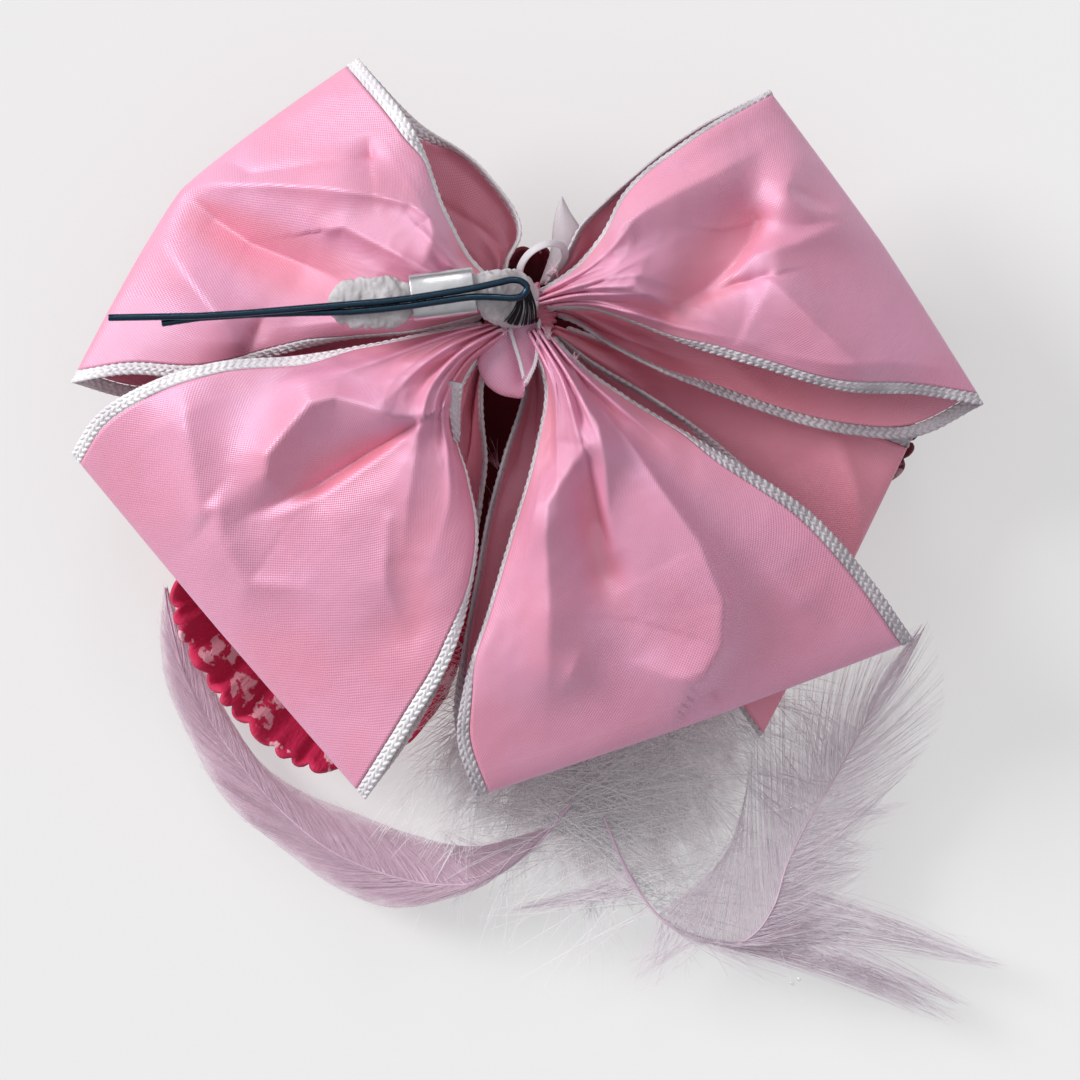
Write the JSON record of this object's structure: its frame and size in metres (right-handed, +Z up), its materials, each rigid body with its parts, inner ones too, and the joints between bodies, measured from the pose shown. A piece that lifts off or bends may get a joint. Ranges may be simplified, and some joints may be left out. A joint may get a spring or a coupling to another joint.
{
  "type": "kanzashi hair bow",
  "caption": "Pleated ribbon hair bow with braided edges, a crimson cloth flower and curled feathers in front, and a sleeved stem with a wire hair pin behind.",
  "frame": {"origin": "middle of the footprint, on the surface that the flower lies on", "axes": "+Z up, out of the back of the bow; +X to the right and +Y away, seen from above with the pin pointing left"},
  "size_m": [0.1288, 0.1319, 0.046],
  "materials": {
    "ribbon": "matt satin ribbon with a fine plain weave",
    "braid": "flat white braid",
    "thread": "bound thread and ribbon roots",
    "paper_tape": "crumpled matt paper tape",
    "steel": "polished steel",
    "pin": "glossy black coated wire",
    "tape": "pale woven tape",
    "crimson": "crimson crepe cloth with small pale blossoms",
    "feather": "pale lilac feather and down"
  },
  "bodies": {
    "root": {"loop_upper_left": "ribbon", "loop_lower_left": "ribbon", "loop_lower_right": "ribbon", "loop_upper_right": "ribbon", "loop_rear": "ribbon", "edging_upper_left_near": "braid", "edging_upper_left_far": "braid", "edging_lower_left_near": "braid", "edging_lower_left_far": "braid", "edging_lower_right_near": "braid", "edging_lower_right_far": "braid", "edging_upper_right_near": "braid", "edging_upper_right_far": "braid", "edging_rear_near": "braid", "edging_rear_far": "braid", "gather_knot": "thread", "centre_tab": "ribbon", "stem_tape": "paper_tape", "ferrule": "steel", "bobby_pin": "pin", "tape_loop": "tape", "tape_tail": "tape", "petal_lower_left": "crimson", "petal_lower_right": "crimson", "petal_right": "crimson", "petal_upper": "crimson", "petal_upper_left": "crimson", "flower_base": "crimson", "flower_heart": "crimson", "feather_left": "feather", "feather_right": "feather", "down_tuft": "feather"}
  },
  "joints": []
}
